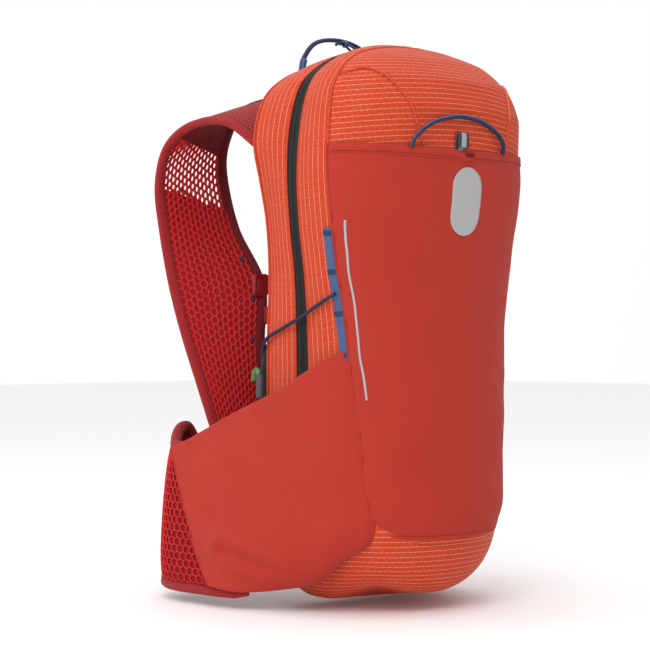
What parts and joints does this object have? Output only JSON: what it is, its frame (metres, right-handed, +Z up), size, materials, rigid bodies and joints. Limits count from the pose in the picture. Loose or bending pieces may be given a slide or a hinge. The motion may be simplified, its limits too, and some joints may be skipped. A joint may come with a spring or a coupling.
{
  "type": "daypack",
  "caption": "Panel-loading daypack with front stash pocket, side pockets, mesh shoulder straps, hip wings, sternum strap and side elastic.",
  "frame": {"origin": "on the floor below the middle of the bounding box", "axes": "+Z up, -Y the outer front with the stash pocket, +Y towards the wearer, -X the wearer's left"},
  "size_m": [0.262, 0.3, 0.507],
  "materials": {
    "ripstop": "lined ripstop weave, orange red",
    "stretch_cloth": "matte red stretch weave",
    "back_foam": "foam board under red mesh",
    "pad_mesh": "spacer mesh over foam, red",
    "strap_mesh": "hexagonal 3-D mesh, deep red",
    "wing_mesh": "hexagonal 3-D mesh and matte pocket cloth, red",
    "zip_black": "coated water-resistant zip tape",
    "frame_plastic": "thin polyethylene sheet",
    "lining": "thin grey lining cloth",
    "black_plastic": "moulded acetal",
    "grey_plastic": "moulded acetal",
    "red_plastic": "moulded acetal",
    "red_webbing": "flat woven webbing, dark red",
    "blue_webbing": "flat woven webbing, blue",
    "navy_loop": "tubular webbing, dark blue",
    "elastic_cord": "flecked braided elastic, dark blue",
    "blue_cord": "braided cord, blue",
    "grey_webbing": "flat woven webbing, dark grey",
    "reflective_tape": "grey reflective tape",
    "black_metal": "black enamel on zinc alloy"
  },
  "bodies": {
    "pack": {"back_panel": "back_foam", "base_panel": "ripstop", "rear_gusset": "ripstop", "zip_tape_rear": "zip_black", "lower_front": "ripstop", "stash_pocket_lower": "stretch_cloth", "frame_sheet": "frame_plastic", "hydration_sleeve": "lining", "lumbar_pad": "pad_mesh", "side_pocket_left": "stretch_cloth", "side_pocket_right": "stretch_cloth", "spine_pad_left": "pad_mesh", "spine_pad_right": "pad_mesh", "side_cord_left": "elastic_cord", "side_cord_right": "elastic_cord", "cord_lock_left": "black_plastic", "cord_lock_right": "black_plastic", "cord_lock_tab_left": "grey_webbing", "cord_lock_tab_right": "grey_webbing", "lower_webbing_left": "red_webbing", "lower_webbing_right": "red_webbing", "webbing_anchor_left": "red_webbing", "webbing_anchor_right": "red_webbing"},
    "flap": {"front_flap": "ripstop", "zip_tape_front": "zip_black", "stash_pocket_upper": "stretch_cloth", "hanger_tab": "reflective_tape", "side_daisy_left": "blue_webbing", "side_daisy_right": "blue_webbing"},
    "haul": {"haul_loop": "navy_loop"},
    "pocket_loop": {"pocket_loop": "navy_loop"},
    "sternum": {"sternum_leg_lower": "red_webbing", "sternum_leg_upper": "red_webbing"},
    "sternum_clip": {"sternum_hook": "red_plastic"},
    "socket": {"belt_socket": "black_plastic"},
    "prong": {"belt_prong": "black_plastic"},
    "strap_left": {"shoulder_strap_left": "strap_mesh", "hose_clip_left": "red_plastic", "hose_clip_tab_left": "black_plastic"},
    "wing_left": {"hip_wing_left": "wing_mesh", "belt_webbing_left": "red_webbing"},
    "slider_left": {"zip_slider_left": "black_metal"},
    "pull_left": {"zip_pull_left": "blue_cord"},
    "button_left": {"cord_lock_button_left": "grey_plastic"},
    "lock_left": {"ladder_lock_left": "black_plastic"},
    "strap_right": {"shoulder_strap_right": "strap_mesh", "hose_clip_right": "red_plastic", "hose_clip_tab_right": "black_plastic"},
    "wing_right": {"hip_wing_right": "wing_mesh", "belt_webbing_right": "red_webbing"},
    "slider_right": {"zip_slider_right": "black_metal"},
    "pull_right": {"zip_pull_right": "blue_cord"},
    "button_right": {"cord_lock_button_right": "grey_plastic"},
    "lock_right": {"ladder_lock_right": "black_plastic"}
  },
  "joints": [
    {"name": "flap_fold", "type": "hinge", "parent": "pack", "child": "flap", "pos_m": [0, -0.1502, 0.195], "axis": [1, 0, 0], "range_deg": [0, 80]},
    {"name": "haul_flop", "type": "hinge", "parent": "pack", "child": "haul", "pos_m": [0, 0.012, 0.461], "axis": [1, 0, 0], "range_deg": [-35, 5], "stiffness_Nm_per_rad": 0.02},
    {"name": "pocket_loop_flop", "type": "hinge", "parent": "flap", "child": "pocket_loop", "pos_m": [-0.012, -0.1486, 0.395], "axis": [1, 0, 0], "range_deg": [0, 28], "stiffness_Nm_per_rad": 0.02, "springref_deg": -5.73},
    {"name": "strap_swing_left", "type": "hinge", "parent": "pack", "child": "strap_left", "pos_m": [-0.069, 0.013, 0.444], "axis": [1, 0, 0], "range_deg": [0, 50]},
    {"name": "wing_swing_left", "type": "hinge", "parent": "pack", "child": "wing_left", "pos_m": [-0.127, 0, 0.075], "axis": [0, 0, 1], "range_deg": [0, 35]},
    {"name": "slider_arc_left", "type": "hinge", "parent": "pack", "child": "slider_left", "pos_m": [-0.0276, -0.042, 0.396], "axis": [0, -1, 0], "range_deg": [0, 85]},
    {"name": "pull_turn_left", "type": "hinge", "parent": "slider_left", "child": "pull_left", "pos_m": [-0.031, -0.042, 0.4855], "axis": [0, 1, 0], "range_deg": [-15, 110]},
    {"name": "button_press_left", "type": "slide", "parent": "pack", "child": "button_left", "axis": [0, 0, 1], "range_m": [0, 0.0016], "stiffness_N_per_m": 200, "springref_m": -0.003},
    {"name": "lock_tilt_left", "type": "hinge", "parent": "pack", "child": "lock_left", "pos_m": [-0.0846, 0.06237, 0.14188], "axis": [0.8763, -0.4799, -0.0417], "range_deg": [0, 30]},
    {"name": "strap_swing_right", "type": "hinge", "parent": "pack", "child": "strap_right", "pos_m": [0.069, 0.013, 0.444], "axis": [1, 0, 0], "range_deg": [0, 50]},
    {"name": "wing_swing_right", "type": "hinge", "parent": "pack", "child": "wing_right", "pos_m": [0.127, 0, 0.075], "axis": [0, 0, -1], "range_deg": [0, 35]},
    {"name": "slider_arc_right", "type": "hinge", "parent": "pack", "child": "slider_right", "pos_m": [0.0276, -0.042, 0.396], "axis": [0, 1, 0], "range_deg": [0, 85]},
    {"name": "pull_turn_right", "type": "hinge", "parent": "slider_right", "child": "pull_right", "pos_m": [0.031, -0.042, 0.4855], "axis": [0, -1, 0], "range_deg": [-15, 110]},
    {"name": "button_press_right", "type": "slide", "parent": "pack", "child": "button_right", "axis": [0, 0, 1], "range_m": [0, 0.0016], "stiffness_N_per_m": 200, "springref_m": -0.003},
    {"name": "lock_tilt_right", "type": "hinge", "parent": "pack", "child": "lock_right", "pos_m": [0.0846, 0.06237, 0.14188], "axis": [0.8763, 0.4799, 0.0417], "range_deg": [0, 30]},
    {"name": "belt_flex_left", "type": "hinge", "parent": "wing_left", "child": "socket", "pos_m": [-0.0391, 0.1459, 0.0845], "axis": [0, 0, 1], "range_deg": [-18, 18]},
    {"name": "belt_flex_right", "type": "hinge", "parent": "wing_right", "child": "prong", "pos_m": [0.0391, 0.1459, 0.0845], "axis": [0, 0, 1], "range_deg": [-18, 18]},
    {"name": "sternum_slide", "type": "slide", "parent": "strap_right", "child": "sternum", "axis": [-0.061, 0.6089, 0.7909], "range_m": [-0.006, 0.014]},
    {"name": "hook_slide", "type": "slide", "parent": "strap_left", "child": "sternum_clip", "axis": [0, 0, 1], "range_m": [0, 0.012]}
  ]
}
